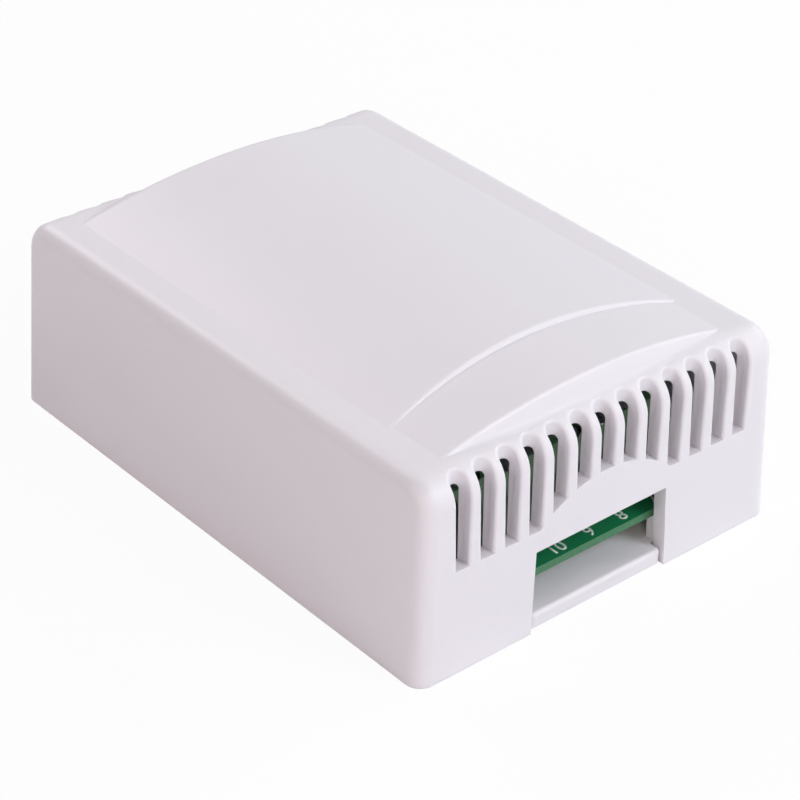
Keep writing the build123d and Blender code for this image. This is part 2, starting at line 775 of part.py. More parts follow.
def relay(index, cx, cy):
    """A sealed relay: cover, base, contacts and pins, yoke with core, wound coil and armature."""
    half_x = relay_width / 2
    half_y = relay_length / 2
    with BuildPart() as cover:
        slab(
            (cx - half_x, cy - half_y, relay_bottom),
            (cx + half_x, cy + half_y, relay_top),
        )
        fillet(cover.edges().filter_by(Axis.Z), relay_wall)
        fillet(cover.faces().sort_by(Axis.Z)[-1].edges(), relay_wall / 2)
        slab(
            (cx - half_x + relay_wall, cy - half_y + relay_wall, relay_bottom),
            (cx + half_x - relay_wall, cy + half_y - relay_wall, relay_top - relay_wall),
            Mode.SUBTRACT,
        )
    save(cover.part, f"relay_cover_{index}")

    coil_pins = [(cx - relay_pin_x, cy + hinge_y), (cx + relay_pin_x, cy + hinge_y), (cx, cy + core_y)]
    low_pin = (cx - relay_pin_x, cy + contact_y)
    high_pin = (cx + relay_pin_x, cy + contact_y)
    all_pins = coil_pins + [low_pin, high_pin]
    base_x = half_x - relay_wall - relay_inner_room
    base_y = half_y - relay_wall - relay_inner_room
    with BuildPart() as base:
        slab((cx - base_x, cy - base_y, relay_bottom), (cx + base_x, cy + base_y, relay_floor))
        for x in (-base_x / 2, base_x / 2):
            for y in (relay_foot_radius - base_y, base_y - relay_foot_radius):
                post(cx + x, cy + y, board_top, relay_bottom, relay_foot_radius)
        for x, y in all_pins:
            post(x, y, relay_bottom, relay_floor, relay_pin_radius + thread_room, Mode.SUBTRACT)
    save(base.part, f"relay_base_{index}")

    with BuildPart() as contacts:
        for x, y in all_pins:
            pin(x, y, relay_floor, relay_pin_radius)
        strip_front = cy + contact_y - contact_radius
        strip_back = cy + contact_y + contact_radius
        for x, top in ((low_pin[0], lower_strip), (high_pin[0], upper_strip)):
            slab(
                (x - contact_blade, strip_front, relay_floor),
                (x + contact_blade, strip_back, top),
            )
        slab(
            (low_pin[0] - contact_blade, strip_front, lower_strip - 2 * contact_blade),
            (cx + contact_radius, strip_back, lower_strip),
        )
        post(cx, cy + contact_y, lower_strip, lower_contact, contact_radius)
        slab(
            (cx - contact_radius, strip_front, upper_strip),
            (high_pin[0] + contact_blade, strip_back, upper_strip + 2 * contact_blade),
        )
    save(contacts.part, f"relay_contacts_{index}")

    yoke_front = cy + core_y - core_radius - yoke_thickness
    with BuildPart() as yoke:
        slab(
            (cx - yoke_width / 2, yoke_front, relay_floor),
            (cx + yoke_width / 2, cy + hinge_y, core_bottom),
        )
        slab(
            (cx - yoke_width / 2, cy + hinge_y - yoke_thickness, core_bottom),
            (cx + yoke_width / 2, cy + hinge_y, armature_bottom - hinge_gap),
        )
        post(cx, cy + core_y, core_bottom, core_top, core_radius)
    save(yoke.part, f"relay_yoke_{index}")

    with BuildPart() as coil:
        post(cx, cy + core_y, coil_bottom, coil_top, coil_wound_radius)
        post(cx, cy + core_y, coil_bottom, coil_bottom + coil_flange, coil_radius)
        post(cx, cy + core_y, coil_top - coil_flange, coil_top, coil_radius)
        post(cx, cy + core_y, coil_bottom, coil_top, core_radius + thread_room, Mode.SUBTRACT)
    save(coil.part, f"relay_coil_{index}")

    with BuildPart() as armature:
        slab(
            (cx - armature_width / 2, yoke_front, armature_bottom),
            (cx + armature_width / 2, cy + hinge_y, armature_top),
        )
        slab(
            (cx - armature_width / 4, cy + contact_y, armature_top),
            (cx + armature_width / 4, cy + core_y, blade_top),
        )
        post(cx, cy + contact_y, armature_top - contact_height, blade_top + contact_height, contact_radius)
    save(armature.part, f"relay_armature_{index}")


for number, (x, y) in enumerate(relay_places, start=1):
    relay(number, x, y)

# Smoothing capacitor, a can with a crimped groove round its foot
x, y = capacitor_place
with BuildPart() as smoothing_capacitor:
    post(x, y, board_top, board_top + capacitor_height, capacitor_radius)
    fillet(smoothing_capacitor.edges().filter_by(GeomType.CIRCLE), capacitor_groove)
    with Locations((x, y, board_top + capacitor_groove_height)):
        Torus(capacitor_radius + capacitor_groove / 2, capacitor_groove, mode=Mode.SUBTRACT)
    for side in (-1, 1):
        pin(x + side * capacitor_lead_pitch / 2, y, board_top + capacitor_groove, lead_radius)
save(smoothing_capacitor.part, "smoothing_capacitor")


def two_row_package(name, place, size, per_row, pitch, along_x):
    """A moulded package on two rows of legs; the rows run along X or along Y."""
    x, y = place
    across, along, height = size
    half_x, half_y = (along / 2, across / 2) if along_x else (across / 2, along / 2)
    bottom = board_top + package_lift
    shoulder = bottom + height / 2
    half_leg = package_leg / 2
    with BuildPart() as package:
        slab((x - half_x, y - half_y, bottom), (x + half_x, y + half_y, bottom + height))
        chamfer(package.faces().sort_by(Axis.Z)[-1].edges(), package_bevel)
        for i in range(per_row):
            step = (i - (per_row - 1) / 2) * pitch
            for side in (-1, 1):
                row = side * (across / 2 + package_leg)
                leg_x, leg_y = (x + step, y + row) if along_x else (x + row, y + step)
                back_x = 0 if along_x else side * package_leg
                back_y = side * package_leg if along_x else 0
                slab(
                    (
                        min(leg_x, leg_x - back_x) - half_leg,
                        min(leg_y, leg_y - back_y) - half_leg,
                        shoulder - half_leg,
                    ),
                    (
                        max(leg_x, leg_x - back_x) + half_leg,
                        max(leg_y, leg_y - back_y) + half_leg,
                        shoulder + half_leg,
                    ),
                )
                slab(
                    (leg_x - half_leg, leg_y - half_leg, pin_bottom),
                    (leg_x + half_leg, leg_y + half_leg, shoulder),
                )
                board_hole(leg_x, leg_y, half_leg * sqrt(2))
    save(package.part, name)


two_row_package("bridge_rectifier", bridge_place, bridge_size, 2, bridge_pitch, False)
two_row_package("controller_chip", chip_place, chip_size, chip_pin_count // 2, chip_pitch, True)

# Voltage regulator, flat on the board with its tab soldered down
x, y = regulator_place
width, length, height = regulator_size
tab_width, tab_reach, tab_height = regulator_tab
with BuildPart() as voltage_regulator:
    slab((x - width / 2, y - length / 2, board_top), (x + width / 2, y + length / 2, board_top + height))
    chamfer(voltage_regulator.faces().sort_by(Axis.Z)[-1].edges(), package_bevel)
    slab(
        (x - tab_width / 2, y + length / 2, board_top),
        (x + tab_width / 2, y + length / 2 + tab_reach, board_top + tab_height),
    )
    for side in (-1, 1):
        leg_left = x + side * regulator_leg_pitch / 2 - regulator_leg_width / 2
        leg_end = y - length / 2 - regulator_leg_reach
        leg_middle = y - length / 2 - regulator_leg_reach / 2
        leg_right = leg_left + regulator_leg_width
        leg_top = board_top + height / 2
        slab((leg_left, leg_end, board_top), (leg_right, leg_middle, board_top + tab_height))
        slab((leg_left, leg_middle - tab_height, board_top), (leg_right, leg_middle, leg_top))
        slab(
            (leg_left, leg_middle - tab_height, leg_top),
            (leg_right, y - length / 2, leg_top + tab_height),
        )
save(voltage_regulator.part, "voltage_regulator")

# Fuse, an upright round case on two leads
x, y = fuse_place
with BuildPart() as input_fuse:
    post(x, y, board_top, board_top + fuse_height, fuse_radius)
    fillet(input_fuse.edges().filter_by(GeomType.CIRCLE).sort_by(Axis.Z)[-1], fuse_edge_radius)
    for side in (-1, 1):
        pin(x + side * fuse_lead_pitch / 2, y, board_top, lead_radius)
save(input_fuse.part, "input_fuse")

# Surge varistor, a disc on edge
x, y = varistor_place
with BuildPart() as surge_varistor:
    with Locations((x, y, board_top + varistor_lift + varistor_radius)):
        Cylinder(varistor_radius, varistor_thickness, rotation=(0, 90, 0))
    fillet(surge_varistor.edges().filter_by(GeomType.CIRCLE), varistor_thickness / 4)
    for side in (-1, 1):
        pin(
            x + side * lead_radius * 2,
            y + side * varistor_lead_pitch / 2,
            board_top + varistor_lift + varistor_radius,
            lead_radius,
        )
save(surge_varistor.part, "surge_varistor")


def axial_parts(name, places, body_radius, body_length, span, wire_radius):
    """Parts that lie along X, each with its wires bent down through the board."""
    height = board_top + body_radius
    with BuildPart() as group:
        for x, y in places:
            bent_wire((x - span / 2, y), (x + span / 2, y), height, wire_radius, lead_bend)
            with Locations((x, y, height)):
                Cylinder(body_radius, body_length, rotation=(0, 90, 0))
    save(group.part, name)


axial_parts("flyback_diodes", diode_places, diode_radius, diode_length, diode_span, diode_wire_radius)
axial_parts("resistors", resistor_places, resistor_radius, resistor_length, resistor_span, lead_radius)

# Relay driver transistors, half-round cases on three leads
with BuildPart() as relay_driver_transistors:
    for x, y in transistor_places:
        with BuildSketch(Plane.XY.offset(board_top + transistor_lift)):
            with Locations((x, y)):
                Circle(transistor_radius)
            with Locations((x, y - transistor_flat)):
                Rectangle(
                    2 * transistor_radius,
                    transistor_radius,
                    align=(Align.CENTER, Align.MAX),
                    mode=Mode.SUBTRACT,
                )
        extrude(amount=transistor_height)
        for side in (-1, 0, 1):
            pin(x + side * transistor_lead_pitch, y, board_top + transistor_lift, transistor_lead_radius)
save(relay_driver_transistors.part, "relay_driver_transistors")

# Status light
x, y = led_place
with BuildPart() as status_led:
    post(x, y, board_top, board_top + led_rim_height, led_rim_radius)
    post(x, y, board_top, board_top + led_height, led_radius)
    with Locations((x, y, board_top + led_height)):
        Sphere(led_radius)
    for side in (-1, 1):
        pin(x + side * led_lead_pitch / 2, y, board_top, led_lead_radius)
save(status_led.part, "status_led")

# Learn button: a fixed body, and a cap that is pressed into it
x, y = button_place
button_floor = board_top + button_body_height / 2
button_top = board_top + button_body_height
half_button = button_size / 2
with BuildPart() as learn_button_body:
    slab((x - half_button, y - half_button, board_top), (x + half_button, y + half_button, button_top))
    chamfer(learn_button_body.edges().filter_by(Axis.Z), button_corner)
    post(x, y, button_floor, button_top, button_cap_radius + button_room, Mode.SUBTRACT)
    for side in (-1, 1):
        for row in (-1, 1):
            pin(x + side * half_button, y + row * button_pin_pitch / 2, button_floor, lead_radius)
save(learn_button_body.part, "learn_button_body")
with BuildPart() as learn_button_cap:
    post(
        x,
        y,
        button_floor + button_travel + thread_room,
        button_top + button_cap_height,
        button_cap_radius,
    )
    fillet(learn_button_cap.edges().filter_by(GeomType.CIRCLE).sort_by(Axis.Z)[-1], button_cap_edge)
save(learn_button_cap.part, "learn_button_cap")

# Radio receiver: a small board on edge, soldered to a row of pins, with its chip and crystal
x, y = radio_place
radio_bottom = board_top + radio_lift
radio_top = radio_bottom + radio_height
radio_middle = (radio_bottom + radio_pin_overlap + radio_top) / 2
radio_face = y - radio_thickness / 2
with BuildPart() as radio_board:
    slab(
        (x - radio_length / 2, radio_face, radio_bottom),
        (x + radio_length / 2, radio_face + radio_thickness, radio_top),
    )
save(radio_board.part, "radio_board")

with BuildPart() as radio_pins:
    for i in range(radio_pin_count):
        pin_x = x + (i - (radio_pin_count - 1) / 2) * radio_pin_pitch
        slab(
            (pin_x - radio_pin_side / 2, radio_face - radio_pin_side, pin_bottom),
            (pin_x + radio_pin_side / 2, radio_face, radio_bottom + radio_pin_overlap),
        )
        board_hole(pin_x, radio_face - radio_pin_side / 2, radio_pin_side / sqrt(2))
save(radio_pins.part, "radio_pins")

chip_x = x - radio_length / 4
width, depth, height = radio_chip_size
package_back = radio_face - radio_chip_lift
with BuildPart() as radio_chip:
    slab(
        (chip_x - width / 2, package_back - depth, radio_middle - height / 2),
        (chip_x + width / 2, package_back, radio_middle + height / 2),
    )
    chamfer(radio_chip.faces().sort_by(Axis.Y)[0].edges(), package_bevel / 2)
    for i in range(radio_chip_leg_count):
        leg_left = chip_x + (i - (radio_chip_leg_count - 1) / 2) * radio_chip_leg_pitch - radio_chip_leg / 2
        leg_right = leg_left + radio_chip_leg
        leg_front = package_back - depth / 2
        leg_low = radio_middle - height / 2 - radio_chip_leg
        leg_high = radio_middle + height / 2 + radio_chip_leg
        slab((leg_left, leg_front, leg_low), (leg_right, leg_front + radio_chip_leg, leg_high))
        slab((leg_left, leg_front, leg_low - radio_chip_leg), (leg_right, radio_face, leg_low))
        slab((leg_left, leg_front, leg_high), (leg_right, radio_face, leg_high + radio_chip_leg))
save(radio_chip.part, "radio_chip")

crystal_x = x + radio_length / 4
with BuildPart() as radio_crystal:
    with BuildSketch(Plane.XZ.offset(-radio_face)):
        with Locations((crystal_x, radio_middle)):
            SlotOverall(crystal_flange[0], crystal_flange[1])
    extrude(amount=crystal_flange[2])
    with BuildSketch(Plane.XZ.offset(crystal_flange[2] - radio_face)):
        with Locations((crystal_x, radio_middle)):
            SlotOverall(crystal_can[0], crystal_can[1])
    extrude(amount=crystal_can[2])
    fillet(radio_crystal.faces().sort_by(Axis.Y)[0].edges(), crystal_edge_radius)
save(radio_crystal.part, "radio_crystal")

# Antenna: a stiff wire loop behind the radio board
with BuildPart() as antenna_loop:
    bent_wire(
        (x - radio_length / 2 + antenna_inset, antenna_y),
        (x + radio_length / 2 - antenna_inset, antenna_y),
        radio_top,
        antenna_wire_radius,
        antenna_bend,
    )
save(antenna_loop.part, "antenna_loop")

# Circuit board, with a hole for every pin and screw noted above
with BuildPart() as circuit_board:
    with BuildSketch(Plane.XY.offset(board_seat)):
        RectangleRounded(board_width, board_length, board_corner)
        for x, y, radius in holes:
            with Locations((x, y)):
                Circle(radius, mode=Mode.SUBTRACT)
    extrude(amount=board_thickness)
save(circuit_board.part, "circuit_board")
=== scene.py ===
from math import cos, pi, radians, sin

import bpy
from mathutils import Matrix, Vector


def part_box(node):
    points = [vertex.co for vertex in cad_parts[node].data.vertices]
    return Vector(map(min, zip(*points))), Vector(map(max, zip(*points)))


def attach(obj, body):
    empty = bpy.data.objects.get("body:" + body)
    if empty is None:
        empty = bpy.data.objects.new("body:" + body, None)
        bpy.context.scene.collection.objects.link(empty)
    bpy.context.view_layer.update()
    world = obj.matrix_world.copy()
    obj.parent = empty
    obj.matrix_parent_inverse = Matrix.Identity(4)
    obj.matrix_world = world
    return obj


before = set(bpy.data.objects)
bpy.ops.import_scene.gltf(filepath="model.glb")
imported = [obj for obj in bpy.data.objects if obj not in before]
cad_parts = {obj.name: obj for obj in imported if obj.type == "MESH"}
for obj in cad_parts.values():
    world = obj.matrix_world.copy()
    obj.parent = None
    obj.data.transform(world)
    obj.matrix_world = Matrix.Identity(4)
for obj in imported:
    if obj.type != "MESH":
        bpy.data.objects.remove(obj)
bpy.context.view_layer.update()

bl_info = {
    "name": "Radio Receiver Module",
    "version": (1, 0, 0),
    "blender": (4, 5, 0),
    "location": "3D View > Sidebar > Receiver",
    "description": "Finishes, board markings and small details for a two-channel radio receiver module",
    "category": "Object",
}

MM = 0.001

# Where the leads that stand free meet the board, part by part, in millimetres from its middle
SOLDERED = {
    "resistors": [(x, 14.6) for x in (-22.5, -13.5, -12.7, -3.7, -2.9, 6.1)],
    "diodes": [(x, 0.6) for x in (-13.4, -4.4, -3.2, 5.8)],
    "transistors": [(x, 1.2) for x in (-22.9, -21.4, -19.9, -18.0, -16.5, -15.0)],
    "chip": [(-20.36 + 2.54 * i, 8.3 + side * 3.7) for i in range(9) for side in (-1, 1)],
    "bridge": [(17.2 + side * 3.75, -4.2 + row * 2.54) for side in (-1, 1) for row in (-1, 1)],
    "light": [(5.4 + side * 1.27, 9.9) for side in (-1, 1)],
    "varistor": [(10.3, 15.5), (11.5, 20.5)],
    "antenna": [(-19.7, 21.2), (4.3, 21.2)],
}
BOARD_TOP = 6.3
FAR = 40  # past every side of the part

DIGIT_SHARE = 0.73  # a digit's height, as a share of its font's size


def low_corner(name):
    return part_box(name)[0] / MM


def high_corner(name):
    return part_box(name)[1] / MM


def linear(colour):
    """An sRGB hex colour as linear red, green, blue and alpha."""
    parts = [int(colour[i : i + 2], 16) / 255 for i in (1, 3, 5)]
    return (*(c / 12.92 if c <= 0.04045 else ((c + 0.055) / 1.055) ** 2.4 for c in parts), 1.0)


def node(tree, kind, inputs=None, **settings):
    """A new node with its settings; each input is a value, or a socket that it is linked from."""
    new = tree.nodes.new(kind)
    for name, value in settings.items():
        setattr(new, name, value)
    for name, value in (inputs or {}).items():
        if isinstance(name, int):
            socket = new.inputs[name]
        else:
            socket = next(s for s in new.inputs if s.enabled and s.name == name)
        if isinstance(value, bpy.types.NodeSocket):
            tree.links.new(value, socket)
        else:
            socket.default_value = value
    return new


def blank(name):
    """A new material: itself, its tree, its shader, and the place on the piece that patterns read."""
    new = bpy.data.materials.new(name)
    new.use_nodes = True
    tree = new.node_tree
    shader = tree.nodes["Principled BSDF"]
    place = node(tree, "ShaderNodeTexCoord").outputs["Object"]
    return new, tree, shader, place


def noise(tree, place, size, detail=3.0, stretch=(1, 1, 1)):
    """A noise whose features are about this many millimetres across, as a value round a half."""
    scaled = node(tree, "ShaderNodeVectorMath", {0: place, 1: stretch}, operation="MULTIPLY")
    spread = {"Vector": scaled.outputs[0], "Scale": 1 / (size * MM), "Detail": detail}
    return node(tree, "ShaderNodeTexNoise", spread).outputs["Fac"]


def between(tree, factor, low, high):
    """A factor of 0 to 1 turned into a value from low to high."""
    limits = {"Value": factor, "To Min": low, "To Max": high}
    return node(tree, "ShaderNodeMapRange", limits).outputs["Result"]


def mixed(tree, factor, first, second):
    """A colour from first, where the factor is 0, to second, where it is 1."""
    inputs = {"Factor": factor, "A": first, "B": second}
    return node(tree, "ShaderNodeMix", inputs, data_type="RGBA").outputs[2]


def bumped(tree, shader, height, depth, share=1.0):
    """Raise the surface by a height pattern, whose full depth is in millimetres."""
    inputs = {"Height": height, "Distance": depth * MM, "Strength": share}
    tree.links.new(node(tree, "ShaderNodeBump", inputs).outputs[0], shader.inputs["Normal"])


def zone(tree, place, low, high):
    """1 inside a box of the piece's own space, between two corners in millimetres, and 0 outside."""
    middle = [(a + b) / 2 * MM for a, b in zip(low, high)]
    half = [(b - a) / 2 * MM for a, b in zip(low, high)]
    offset = node(tree, "ShaderNodeVectorMath", {0: place, 1: middle}, operation="SUBTRACT")
    away = node(tree, "ShaderNodeVectorMath", {0: offset.outputs[0]}, operation="ABSOLUTE")
    share = node(tree, "ShaderNodeVectorMath", {0: away.outputs[0], 1: half}, operation="DIVIDE")
    parts = node(tree, "ShaderNodeSeparateXYZ", {0: share.outputs[0]})
    flat = {0: parts.outputs[0], 1: parts.outputs[1]}
    widest = node(tree, "ShaderNodeMath", flat, operation="MAXIMUM")
    full = {0: widest.outputs[0], 1: parts.outputs[2]}
    widest = node(tree, "ShaderNodeMath", full, operation="MAXIMUM")
    return node(tree, "ShaderNodeMath", {0: widest.outputs[0], 1: 1.0}, operation="LESS_THAN").outputs[0]


def above(tree, place, height):
    """1 over a height in millimetres, and 0 under it."""
    return zone(tree, place, (-FAR, -FAR, height), (FAR, FAR, FAR))


def faded(tree, value, nothing, full):
    """0 where a value is at or past nothing, 1 where it is at or past full, both in millimetres."""
    limits = {"Value": value, "From Min": nothing * MM, "From Max": full * MM}
    return node(tree, "ShaderNodeMapRange", limits).outputs["Result"]


def folded(tree, place, start, step):
    """The place with its X wrapped, so that one pattern serves parts that stand in a row."""
    parts = node(tree, "ShaderNodeSeparateXYZ", {0: place})
    wrap = {0: parts.outputs[0], 1: (start + step) * MM, 2: start * MM}
    across = node(tree, "ShaderNodeMath", wrap, operation="WRAP")
    inputs = {0: across.outputs[0], 1: parts.outputs[1], 2: parts.outputs[2]}
    return node(tree, "ShaderNodeCombineXYZ", inputs).outputs[0]


def plastic(name, colour, grain, depth, roughness, mottle=0.94):
    """A moulded plastic: eroded grain of the mould in its surface, slightly uneven in tone and sheen."""
    new, tree, shader, place = blank(name)
    fine = noise(tree, place, grain)
    cloud = noise(tree, place, grain * 40, 2.0)
    darker = (*(c * mottle for c in colour[:3]), 1.0)
    tree.links.new(mixed(tree, cloud, darker, colour), shader.inputs["Base Color"])
    sheen = between(tree, fine, roughness - 0.06, roughness + 0.06)
    tree.links.new(sheen, shader.inputs["Roughness"])
    bumped(tree, shader, fine, depth)
    shader.inputs["IOR"].default_value = 1.5
    return new, tree, shader, place


def metal(name, colour, roughness, grain=0.25, stretch=(1, 1, 1), depth=0.004):
    """A metal surface with fine marks, drawn out along one way where it was rolled or brushed."""
    new, tree, shader, place = blank(name)
    marks = noise(tree, place, grain, 4.0, stretch)
    darker = (*(c * 0.8 for c in colour[:3]), 1.0)
    tree.links.new(mixed(tree, marks, darker, colour), shader.inputs["Base Color"])
    sheen = between(tree, marks, roughness - 0.1, roughness + 0.1)
    tree.links.new(sheen, shader.inputs["Roughness"])
    shader.inputs["Metallic"].default_value = 1.0
    bumped(tree, shader, marks, depth)
    return new


def legs(tree, shader, body, colour="#C9C8C2"):
    """Make all of a part outside its body's mask tinned metal."""
    base = shader.inputs["Base Color"]
    sheen = shader.inputs["Roughness"]
    painted = base.links[0].from_socket
    tree.links.new(mixed(tree, body, linear(colour), painted), base)
    rough = {"Factor": body, "A": 0.35, "B": sheen.links[0].from_socket}
    tree.links.new(node(tree, "ShaderNodeMix", rough).outputs[0], sheen)
    bare = node(tree, "ShaderNodeMath", {0: 1.0, 1: body}, operation="SUBTRACT")
    tree.links.new(bare.outputs[0], shader.inputs["Metallic"])


def dress(finish, *names):
    """Give CAD nodes this material."""
    for name in names:
        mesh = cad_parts[name].data
        mesh.materials.clear()
        mesh.materials.append(finish)


def laminate(name, colour, axis):
    """Glass-fibre laminate under solder resist: a smooth coat over a faint weave, bare at the cut edges,
    whose colour is painted darker as shade.
    """
    new, tree, shader, place = blank(name)
    normal = node(tree, "ShaderNodeNewGeometry").outputs["Normal"]
    facing = node(tree, "ShaderNodeSeparateXYZ", {0: normal}).outputs[axis]
    square = node(tree, "ShaderNodeMath", {0: facing, 1: 2.0}, operation="POWER").outputs[0]
    coated = node(tree, "ShaderNodeMath", {0: square, 1: 0.5}, operation="GREATER_THAN").outputs[0]
    # Glass yarns lie 0.5 mm apart, crosswise.
    yarns = []
    for way in ("X", "Y"):
        bands = {"Vector": place, "Scale": 1 / (0.5 * MM) / 20}
        yarns.append(node(tree, "ShaderNodeTexWave", bands, bands_direction=way).outputs["Fac"])
    weave = node(tree, "ShaderNodeMath", {0: yarns[0], 1: yarns[1]}, operation="MULTIPLY").outputs[0]
    cloud = noise(tree, place, 6.0, 2.0)
    deep = (*(c * 0.8 for c in colour[:3]), 1.0)
    resist = mixed(tree, cloud, deep, colour)
    # The cut edges' bare fibre is painted a deep green, darker than its real pale tone, as shade on the
    # board's edges.
    fibre_and_painted_shade = mixed(tree, noise(tree, place, 0.5), linear("#316645"), linear("#528863"))
    tree.links.new(mixed(tree, coated, fibre_and_painted_shade, resist), shader.inputs["Base Color"])
    tree.links.new(between(tree, coated, 0.75, 0.32), shader.inputs["Roughness"])
    bumped(tree, shader, weave, 0.006)
    shader.inputs["IOR"].default_value = 1.52
    return new


def deselect():
    bpy.ops.object.select_all(action="DESELECT")


def choose(mesh, test):
    """In edit mode, select the faces that pass a test, and nothing else."""
    bpy.ops.mesh.select_mode(type="FACE")
    bpy.ops.mesh.select_all(action="DESELECT")
    bpy.ops.object.mode_set(mode="OBJECT")
    for face in mesh.polygons:
        face.select = test(face)
    bpy.ops.object.mode_set(mode="EDIT")


def settle(piece, name, finish, body="base"):
    """Name a finished piece, put its place in its mesh, give it its finish and let it ride."""
    deselect()
    piece.select_set(True)
    bpy.context.view_layer.objects.active = piece
    bpy.ops.object.transform_apply(location=True, rotation=True, scale=True)
    piece.name = name
    piece.data.name = name
    piece.data.materials.clear()
    piece.data.materials.append(finish)
    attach(piece, body)
    return piece


def joined(pieces):
    """Several pieces made one."""
    deselect()
    for piece in pieces:
        piece.select_set(True)
    bpy.context.view_layer.objects.active = pieces[0]
    bpy.ops.object.transform_apply(location=True, rotation=True, scale=True)
    if len(pieces) > 1:
        bpy.ops.object.join()
    return pieces[0]


def copied(piece, place):
    """A copy of a piece, with its own mesh, whose origin is at a place in millimetres."""
    new = piece.copy()
    new.data = piece.data.copy()
    new.location = Vector(place) * MM
    bpy.context.scene.collection.objects.link(new)
    return new


def thickened(piece, thickness):
    """Give a flat piece a thickness upwards."""
    solid = piece.modifiers.new("thickness", "SOLIDIFY")
    solid.thickness = thickness * MM
    solid.offset = 1.0
    bpy.context.view_layer.objects.active = piece
    bpy.ops.object.modifier_apply(modifier=solid.name)


def printed_outline(place, size, line, thickness, corners=4):
    """An outline printed on the board, of a rectangle, or of a circle where it has more corners."""
    deselect()
    centre = Vector((*place, BOARD_TOP)) * MM
    if corners == 4:
        bpy.ops.mesh.primitive_plane_add(size=1.0, location=centre)
        bpy.context.object.scale = (size[0] * MM, size[1] * MM, 1.0)
        bpy.ops.object.transform_apply(location=False, rotation=False, scale=True)
    else:
        bpy.ops.mesh.primitive_circle_add(
            vertices=corners, radius=size[0] / 2 * MM, fill_type="NGON", location=centre
        )
    piece = bpy.context.object
    bpy.ops.object.mode_set(mode="EDIT")
    bpy.ops.mesh.select_all(action="SELECT")
    bpy.ops.mesh.inset(thickness=line * MM)
    bpy.ops.mesh.delete(type="FACE")
    bpy.ops.object.mode_set(mode="OBJECT")
    thickened(piece, thickness)
    return piece


class CasingSettings(bpy.types.PropertyGroup):
    colour: bpy.props.FloatVectorProperty(
        name="Colour", description="Colour of the white plastic", subtype="COLOR",
        default=linear("#E7E4EB")[:3],
    )
    grain: bpy.props.FloatProperty(
        name="Grain", description="Width of the mould's eroded grain", unit="LENGTH", default=0.35 * MM
    )
    grain_depth: bpy.props.FloatProperty(
        name="Grain Depth", description="Depth of the grain", unit="LENGTH", default=0.01 * MM
    )


class BoardSettings(bpy.types.PropertyGroup):
    resist: bpy.props.FloatVectorProperty(
        name="Resist", description="Colour of the solder resist", subtype="COLOR",
        default=linear("#1D7E52")[:3],
    )
    ink: bpy.props.FloatVectorProperty(
        name="Ink", description="Colour of the printed markings", subtype="COLOR",
        default=linear("#DDEBE2")[:3],
    )
    number_height: bpy.props.FloatProperty(
        name="Number Height", description="Height of the terminal numbers", unit="LENGTH", default=1.75 * MM
    )
    number_inset: bpy.props.FloatProperty(
        name="Number Inset", description="From the board's end to the numbers' middle", unit="LENGTH",
        default=1.3 * MM,
    )
    line: bpy.props.FloatProperty(
        name="Line", description="Width of the printed outlines", unit="LENGTH", default=0.2 * MM
    )
    ink_thickness: bpy.props.FloatProperty(
        name="Ink Thickness", description="How far the ink stands proud", unit="LENGTH", default=0.02 * MM
    )


class PartSettings(bpy.types.PropertyGroup):
    terminal: bpy.props.FloatVectorProperty(
        name="Terminal Blocks", description="Colour of the terminal blocks", subtype="COLOR",
        default=linear("#456B49")[:3],
    )
    relay: bpy.props.FloatVectorProperty(
        name="Relay Covers", description="Colour of the relay covers", subtype="COLOR",
        default=linear("#1E1F22")[:3],
    )
    sleeve: bpy.props.FloatVectorProperty(
        name="Capacitor Sleeve", description="Colour of the capacitor's sleeve", subtype="COLOR",
        default=linear("#1B2140")[:3],
    )


class StudioSettings(bpy.types.PropertyGroup):
    azimuth: bpy.props.FloatProperty(
        name="Azimuth", description="Way round the object that the camera stands", subtype="ANGLE",
        default=radians(-41.59),
    )
    elevation: bpy.props.FloatProperty(
        name="Elevation", description="Camera's angle above the floor", subtype="ANGLE",
        default=radians(32.89),
    )
    roll: bpy.props.FloatProperty(
        name="Roll", description="Tilt of the camera about its own line of sight", subtype="ANGLE",
        default=radians(1.90),
    )
    distance: bpy.props.FloatProperty(
        name="Distance", description="From the camera to the object", unit="LENGTH", default=306.68 * MM
    )
    lens: bpy.props.FloatProperty(
        name="Lens", description="Focal length of the camera in millimetres", default=117.53
    )
    room: bpy.props.FloatProperty(
        name="Room Light", description="Strength of the even light all round", default=0.02
    )
    key: bpy.props.FloatProperty(
        name="Key Light", description="Power of the soft lamp in front", unit="POWER", default=2.8
    )
    left: bpy.props.FloatProperty(
        name="Left Light", description="Power of the lamp on the left", unit="POWER", default=1.1
    )
    near: bpy.props.FloatProperty(
        name="Near Light", description="Power of the lamp by the camera", unit="POWER", default=1.37
    )
    right: bpy.props.FloatProperty(
        name="Right Light", description="Power of the lamp on the right", unit="POWER", default=1.93
    )
    back: bpy.props.FloatProperty(
        name="Back Light", description="Power of the lamp behind", unit="POWER", default=2.16
    )


